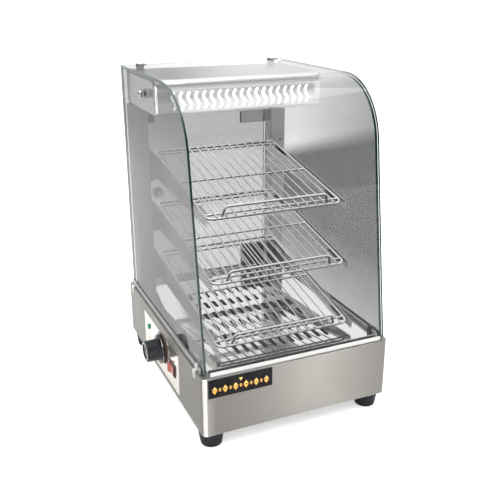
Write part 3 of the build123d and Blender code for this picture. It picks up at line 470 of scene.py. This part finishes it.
steel_side = brushed_steel(
    "steel_case", (0.31, 0.298, 0.277), (5, 5, 900), (0.34, 0.42), contrast=0.05, shading=base_painted_highlight
)
steel_post = brushed_steel("steel_post", (0.44, 0.425, 0.42), (900, 900, 5), (0.26, 0.36), (1, 1, 0.05))
steel_hood = brushed_steel(
    "steel_hood",
    (0.72, 0.72, 0.71),
    (4, 4, 500),
    (0.16, 0.22),
    spread=0.4,
    contrast=0.03,
    shading=hood_painted_light_and_shade,
)
steel_bracket = brushed_steel("steel_bracket", (0.45, 0.44, 0.43), (5, 5, 900), (0.18, 0.3))
deck_sheet = mirror_sheet("deck_mirror", (0.96, 0.96, 0.95))
wire_chrome = chrome(
    "wire_chrome", (0.98, 0.98, 0.98), grime=0.1, painted_shade_below=0.04, metallic=0.5, lit=(-0.05, 0.35)
)
fitting_chrome = chrome("fitting_polish", (0.66, 0.65, 0.64), (0.10, 0.24), 0.5, painted_shade_below=0.5)
clip_satin = chrome("clip_satin", (0.74, 0.74, 0.73), (0.22, 0.34), 0.25, painted_shade_below=0.75, metallic=0.5)
front_trim = aluminium("channel_front_aluminium", (0.70, 0.70, 0.69))
side_trim = aluminium("channel_side_aluminium", (0.46, 0.475, 0.485))
zinc = galvanised("zinc_sheet")
sheath = element_sheath("element_sheath_alloy")
front_pane = pane("glass_front", (0.95, 0.92, 0.92), 0.95, "Z", "X", False, seam=0.25)
side_pane = pane("glass_side", (0.105, 0.26, 0.47), 0.31, "X", "X", True, slope=0.29, mirror=0.8, foot=2.3)
door_pane = pane("glass_door", (0.33, 0.28, 0.28), 0.6, "Y", "Y", True, pale_from=0.40)
black_rubber = rubber("foot_rubber")
black_plastic = moulded_plastic("black_plastic_fine", (0.012, 0.013, 0.017), (0.20, 0.34), shine=0.35)
red_plastic = lens_plastic("rocker_red", (0.28, 0.018, 0.012), (0.9, 0.06, 0.02), 0.04)
green_plastic = lens_plastic("lens_green", (0.015, 0.20, 0.11), (0.02, 0.5, 0.25), 0.12)
label_film = printed_film("label_film", (0.76, 0.735, 0.67))
badge_plate = moulded_plastic("badge_gloss", (0.006, 0.005, 0.007), (0.16, 0.26), shine=0.10)
diffuser = lit_acrylic("diffuser_opal", (0.95, 0.98, 1.0), 1.1)
tube_glass = lit_acrylic("lamp_phosphor", (0.96, 0.97, 0.95), 2.0)
white_plastic = moulded_plastic("socket_white", (0.74, 0.74, 0.71))
wire_silicone = silicone_wire("wire_silicone")

CAD_LOOKS = {
    steel_side: ["base_shell"],
    steel_post: ["rear_post_left", "rear_post_right"],
    steel_hood: ["hood_shell", "hood_end_left", "hood_end_right"],
    steel_bracket: [f"{level}_bracket_{side}" for level in LEVELS for side in SIDES],
    deck_sheet: ["deck_plate"],
    wire_chrome: [f"{level}_{part}" for level in LEVELS for part in ("shelf", "shelf_guard")],
    clip_satin: ["glass_corner_clips", "top_rear_clips"],
    fitting_chrome: [
        "clip_screws",
        "glass_cap_screws",
        "door_hinge_patches",
        "door_pivot_pins",
        "door_knob",
        "door_knob_screw",
        "door_strike",
        "thermostat_shaft",
        "foot_screws",
        "thermostat_bulb",
    ],
    front_trim: ["glass_channel_front"],
    side_trim: ["glass_channel_left", "glass_channel_right"],
    zinc: ["base_bottom_plate", "heat_tray", "element_brackets"],
    sheath: ["heating_element"],
    front_pane: ["front_glass"],
    side_pane: ["side_glass_left", "side_glass_right"],
    door_pane: ["door_glass"],
    black_rubber: ["rubber_feet", "clip_pads", "glass_washers"],
    black_plastic: [
        "thermostat_knob",
        "rocker_switch_body",
        "indicator_body",
        "cord_gland",
        "thermostat_body",
        "door_catch",
    ],
    red_plastic: ["rocker_switch_button"],
    green_plastic: ["indicator_lens"],
    label_film: ["control_label"],
    badge_plate: ["front_badge"],
    diffuser: ["sign_diffuser"],
    tube_glass: ["lamp_tube"],
    white_plastic: ["lamp_holders", "terminal_block"],
    wire_silicone: ["internal_wiring"],
}
for material, nodes in CAD_LOOKS.items():
    for node in nodes:
        dress(node, material)


# ---------------------------------------------------------------- fine pieces
def solid(name, mesh, body, material):
    """A mesh object that moves with a body of the CAD and takes its finish from a slot."""
    mesh.normal_update()
    data = bpy.data.meshes.new(name)
    mesh.to_mesh(data)
    mesh.free()
    data.materials.append(material)
    made = bpy.data.objects.new(name, data)
    bpy.context.scene.collection.objects.link(made)
    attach(made, body)
    return made


def add_prism(mesh, outline, place, thickness):
    """Adds an upright prism: outline in local X and Y, thickness along local Z, moved by place."""
    turned = sum(a[0] * b[1] - b[0] * a[1] for a, b in zip(outline, outline[1:] + outline[:1])) < 0
    points = list(reversed(outline)) if turned else list(outline)
    low = [mesh.verts.new(place @ Vector((x, y, 0.0))) for x, y in points]
    high = [mesh.verts.new(place @ Vector((x, y, thickness))) for x, y in points]
    mesh.faces.new(list(reversed(low)))
    mesh.faces.new(high)
    for i in range(len(points)):
        j = (i + 1) % len(points)
        mesh.faces.new((low[i], low[j], high[j], high[i]))


def add_band(mesh, radii, place, thickness, start=0.0, sweep=360.0, steps=72):
    """Adds part of a flat ring between two radii, from a start angle over a sweep, in degrees."""
    closed = sweep >= 360.0
    count = steps if closed else steps + 1
    rings = []
    for i in range(count):
        angle = math.radians(start + sweep * i / steps)
        across = Vector((math.cos(angle), math.sin(angle), 0.0))
        corners = [(radii[0], 0.0), (radii[1], 0.0), (radii[1], thickness), (radii[0], thickness)]
        rings.append([mesh.verts.new(place @ (across * r + Vector((0, 0, z)))) for r, z in corners])
    for i in range(count if closed else count - 1):
        here, there = rings[i], rings[(i + 1) % count]
        for a in range(4):
            b = (a + 1) % 4
            mesh.faces.new((here[a], there[a], there[b], here[b]))
    if not closed:
        mesh.faces.new(rings[0])
        mesh.faces.new(list(reversed(rings[-1])))


def facing(origin, right, up):
    """Places local X along right, local Y along up and local Z out of the surface they span."""
    right, up = Vector(right), Vector(up)
    turned = Matrix((right, up, right.cross(up))).transposed().to_4x4()
    return Matrix.Translation(origin) @ turned


def middle(node, axis):
    low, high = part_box(node)
    return (low[axis] + high[axis]) / 2.0


def rectangle(x, y):
    return [(x[0], y[0]), (x[1], y[0]), (x[1], y[1]), (x[0], y[1])]


def badge_pattern():
    """Plain amber row of large and small lozenges, raised a little from the badge."""
    low, high = (Vector(corner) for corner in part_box("front_badge"))
    place = facing((low.x, low.y, low.z), (1, 0, 0), (0, 0, 1))
    margin, centre = 6.5 * MM, 14.0 * MM
    cells = 11
    pitch = (high.x - low.x - 2 * margin) / cells
    slit = 0.7 * MM
    mesh = bmesh.new()
    for cell in range(cells):
        x = margin + (cell + 0.5) * pitch
        reach, rise = (5.4 * MM, 7.2 * MM) if cell % 2 == 0 else (3.4 * MM, 3.6 * MM)
        left, right = x - reach + slit, x + reach - slit
        for way in (1, -1):
            foot = centre + way * slit
            add_prism(mesh, [(left, foot), (right, foot), (x, centre + way * rise)], place, FOIL)
    x = margin + 0.5 * cells * pitch
    add_prism(mesh, [(x - 3.4 * MM, 28.4 * MM), (x + 3.4 * MM, 28.4 * MM), (x, 22.6 * MM)], place, FOIL)
    amber = gold_print("amber_foil", low.z + 7.0 * MM, low.z + 28.0 * MM)
    return solid("badge_pattern", mesh, "case", amber)


def label_print(dark_ink, scale_ink, dot_ink):
    """Thin outline, dial scale with ticks and one dot, printed on the control label."""
    low, high = (Vector(corner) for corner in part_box("control_label"))
    place = facing((low.x, high.y, low.z), (0, -1, 0), (0, 0, 1))
    width, height = high.y - low.y, high.z - low.z
    edge, line, post = 0.2 * MM, 2.0 * MM, 2.6 * MM
    film = 0.06 * MM
    mesh = bmesh.new()
    full_width = (edge, width - edge)
    between_lines = (edge + line, height - edge - line)
    add_prism(mesh, rectangle(full_width, (edge, edge + line)), place, film)
    add_prism(mesh, rectangle(full_width, (height - edge - line, height - edge)), place, film)
    add_prism(mesh, rectangle((edge, edge + post), between_lines), place, film)
    add_prism(mesh, rectangle((width - edge - post, width - edge), between_lines), place, film)
    dial = facing((low.x, middle("thermostat_knob", 1), middle("thermostat_knob", 2)), (0, -1, 0), (0, 0, 1))
    ticks, first_tick, tick_gap = 15, 220.0, 18.5
    for step in range(ticks):
        angle = math.radians(first_tick - tick_gap * step)
        turn = Matrix.Rotation(angle, 4, "Z")
        longer = 1.6 * MM if step % 2 == 0 else 0.0
        tick = rectangle((34.0 * MM - longer, 34.6 * MM), (-0.35 * MM, 0.35 * MM))
        add_prism(mesh, tick, dial @ turn, film)
    solid("label_outline", mesh, "case", dark_ink)
    mesh = bmesh.new()
    add_band(mesh, (29.8 * MM, 33.2 * MM), dial, film, start=-50.0, sweep=200.0, steps=90)
    solid("dial_scale", mesh, "case", scale_ink)
    mesh = bmesh.new()
    dot_z = middle("indicator_lens", 2) - 25.0 * MM
    dot = facing((low.x, middle("indicator_lens", 1), dot_z), (0, -1, 0), (0, 0, 1))
    dot_radius = 4.2 * MM
    add_prism(mesh, [(dot_radius * math.cos(a), dot_radius * math.sin(a)) for a in ANGLES], dot, film)
    return solid("label_dot", mesh, "case", dot_ink)


def knob_rings(metal):
    """Turned metal rings: round the rim of the knob's end and round its flange."""
    low, high = (Vector(corner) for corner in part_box("thermostat_knob"))
    y, z = middle("thermostat_knob", 1), middle("thermostat_knob", 2)
    flange = (high.y - low.y) / 2.0 - 0.8 * MM
    mesh = bmesh.new()
    add_band(mesh, (15.2 * MM, 17.6 * MM), facing((low.x, y, z), (0, -1, 0), (0, 0, 1)), 0.3 * MM, steps=96)
    seat = facing((high.x - 3.9 * MM, y, z), (0, -1, 0), (0, 0, 1))
    add_band(mesh, (flange + 0.02 * MM, flange + 0.3 * MM), seat, 1.2 * MM, steps=120)
    return solid("knob_rings", mesh, "thermostat_dial", metal)


def lamp_ferrules(metal):
    """Metal end caps of the fluorescent tube."""
    low, high = (Vector(corner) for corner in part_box("lamp_tube"))
    radius = (high.z - low.z) / 2.0
    y, z = middle("lamp_tube", 1), middle("lamp_tube", 2)
    mesh = bmesh.new()
    for start in (low.x + 0.3 * MM, high.x - 13.3 * MM):
        place = facing((start, y, z), (0, 1, 0), (0, 0, 1))
        add_band(mesh, (radius + 0.02 * MM, radius + 0.35 * MM), place, 13.0 * MM, steps=64)
    return solid("lamp_ferrules", mesh, "case", metal)


brown_ink = moulded_plastic("brown_ink", (0.035, 0.022, 0.016), (0.3, 0.45), grain=900.0)
red_ink = moulded_plastic("red_ink", (0.13, 0.030, 0.020), (0.3, 0.45), grain=900.0)
orange_ink = moulded_plastic("orange_ink", (0.42, 0.19, 0.08), (0.3, 0.45), grain=900.0)
ring_metal = chrome("turned_metal", (0.62, 0.62, 0.60), (0.18, 0.30), 0.3)
badge_pattern()
label_print(brown_ink, red_ink, orange_ink)
knob_rings(ring_metal)
lamp_ferrules(ring_metal)


# ---------------------------------------------------------------- studio
def sheet_mesh(name, corners):
    mesh = bpy.data.meshes.new(name)
    mesh.from_pydata(corners, [], [tuple(range(len(corners)))])
    made = bpy.data.objects.new(name, mesh)
    bpy.context.scene.collection.objects.link(made)
    return made


def studio_floor():
    half = 30.0
    corners = [(-half, -half, 0), (half, -half, 0), (half, half, 0), (-half, half, 0)]
    floor = sheet_mesh("studio_floor", corners)
    floor.location.z = -0.0002
    graph = Graph("floor_paper")
    grain = graph.noise(40.0, detail=4.0)
    base = graph.mix(graph.remap(grain, 0.3, 0.7), colour(0.955, 0.955, 0.955), colour(0.975, 0.975, 0.975))
    paper = graph.surface(base_color=base, roughness=0.7, emission_color=base)
    lit = graph.math("SUBTRACT", 1.0, graph.node("LightPath").outputs["Is Glossy Ray"])
    graph.feed(paper.inputs["Emission Strength"], graph.math("MULTIPLY", lit, 0.5))
    floor.data.materials.append(graph.finish(paper))


def softbox(name, place, target, size, power, shade=(1.0, 1.0, 1.0)):
    light = bpy.data.lights.new(name, "AREA")
    light.shape = "RECTANGLE"
    light.size, light.size_y = size
    light.energy = power
    light.color = shade
    made = bpy.data.objects.new(name, light)
    made.location = place
    made.rotation_euler = (Vector(target) - Vector(place)).to_track_quat("-Z", "Y").to_euler()
    bpy.context.scene.collection.objects.link(made)
    return made


def only_on(light, nodes):
    """A light that reaches only the named nodes, like a flagged strip on a set."""
    receivers = bpy.data.collections.new(light.name + "_receivers")
    for node in nodes:
        receivers.objects.link(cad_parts[node])
    light.light_linking.receiver_collection = receivers


def studio_world():
    """Pale studio: white to the camera; in reflections bright behind and above, dark in front."""
    world = bpy.data.worlds.new("studio")
    bpy.context.scene.world = world
    world.use_nodes = True
    tree = world.node_tree
    background = tree.nodes["Background"]
    background.inputs["Strength"].default_value = 1.12
    direction = tree.nodes.new("ShaderNodeTexCoord").outputs["Generated"]
    split = tree.nodes.new("ShaderNodeSeparateXYZ")
    tree.links.new(direction, split.inputs[0])

    def band(axis, start, end, strength):
        made = tree.nodes.new("ShaderNodeMapRange")
        made.interpolation_type = "SMOOTHSTEP"
        tree.links.new(split.outputs[axis], made.inputs["Value"])
        made.inputs["From Min"].default_value = start
        made.inputs["From Max"].default_value = end
        made.inputs["To Max"].default_value = strength
        return made.outputs["Result"]

    def combine(operation, first, second, lift=0.0):
        """Math of two strengths, with a constant added to the second one."""
        lifted = tree.nodes.new("ShaderNodeMath")
        lifted.operation = "ADD"
        tree.links.new(second, lifted.inputs[0])
        lifted.inputs[1].default_value = lift
        made = tree.nodes.new("ShaderNodeMath")
        made.operation = operation
        tree.links.new(first, made.inputs[0])
        tree.links.new(lifted.outputs[0], made.inputs[1])
        return made.outputs[0]

    rear_right = combine("MULTIPLY", band("Y", 0.05, 0.62, 0.95), band("X", -0.35, 0.0, 1.0))
    near_horizon = combine("MAXIMUM", band("X", 0.25, 0.40, 0.62), band("Z", 0.14, 0.26, 0.62))
    rear_right = combine("MULTIPLY", rear_right, near_horizon, 0.38)
    rear_right = combine("MULTIPLY", rear_right, band("Z", 0.30, 0.42, 0.4), 1.0)
    total = combine("MAXIMUM", rear_right, band("Z", 0.45, 0.85, 0.9))
    path = tree.nodes.new("ShaderNodeLightPath")
    mix = tree.nodes.new("ShaderNodeMix")
    mix.data_type = "RGBA"
    tree.links.new(path.outputs["Is Glossy Ray"], mix.inputs["Factor"])
    mix.inputs[COLOUR_A].default_value = (1.0, 1.0, 1.0, 1)
    floor_level = tree.nodes.new("ShaderNodeMath")
    floor_level.operation = "MAXIMUM"
    floor_level.inputs[1].default_value = 0.05
    tree.links.new(total, floor_level.inputs[0])
    tree.links.new(floor_level.outputs[0], mix.inputs[COLOUR_B])
    tree.links.new(mix.outputs[COLOUR_RESULT], background.inputs["Color"])


CASE_MIDDLE = Vector((0.0, 0.0, 0.29))
studio_floor()
studio_world()
softbox("key_box", (-1.5, -1.3, 1.7), CASE_MIDDLE, (1.3, 1.3), 16)
softbox("fill_box", (1.9, -0.9, 1.0), CASE_MIDDLE, (1.0, 1.6), 12)
softbox("top_box", (0.1, 0.1, 2.3), CASE_MIDDLE, (1.8, 1.8), 20)
softbox("back_box", (-0.4, 2.2, 1.5), CASE_MIDDLE, (2.2, 1.2), 14)
front_strip = softbox("front_strip", (0.93, -2.02, 0.75), (0.035, -0.2275, 0.1), (0.22, 1.5), 10)
only_on(front_strip, ["base_shell"])
corner_strip = softbox("corner_strip", (-1.31, -1.35, 0.7), (-0.175, -0.222, 0.1), (3.4, 1.4), 130)
only_on(corner_strip, ["base_shell", "hood_end_left"])
hood_fill = softbox("hood_fill", (0.75, -1.5, 0.25), (0.0, 0.02, 0.56), (1.4, 0.7), 2.6)
hood_sky = softbox("hood_sky", (0.75, -1.5, 0.95), (0.0, 0.02, 0.58), (1.4, 0.8), 3.0)
for hood_light in (hood_fill, hood_sky):
    only_on(hood_light, ["hood_shell", "hood_end_left", "hood_end_right"])
end_fill = softbox("end_fill", (-0.61, 1.15, 0.14), (-0.165, 0.12, 0.56), (1.0, 1.0), 2.6)
only_on(end_fill, ["hood_end_left"])

# ---------------------------------------------------------------- camera
AZIMUTH, ELEVATION = math.radians(-23.8), math.radians(20.4)
CAMERA_TARGET = Vector((0.0057, 0.0, 0.2635))
CAMERA_DISTANCE = 1.379
camera_back = Vector(
    (
        math.sin(AZIMUTH) * math.cos(ELEVATION),
        -math.cos(AZIMUTH) * math.cos(ELEVATION),
        math.sin(ELEVATION),
    )
)
camera = bpy.data.objects.new("camera", bpy.data.cameras.new("camera"))
camera.data.lens = 51.12
camera.data.sensor_width = 36.0
camera.location = CAMERA_TARGET + camera_back * CAMERA_DISTANCE
camera.rotation_euler = (-camera_back).to_track_quat("-Z", "Y").to_euler()
bpy.context.scene.collection.objects.link(camera)
bpy.context.scene.camera = camera
bpy.context.scene.view_settings.view_transform = "Standard"
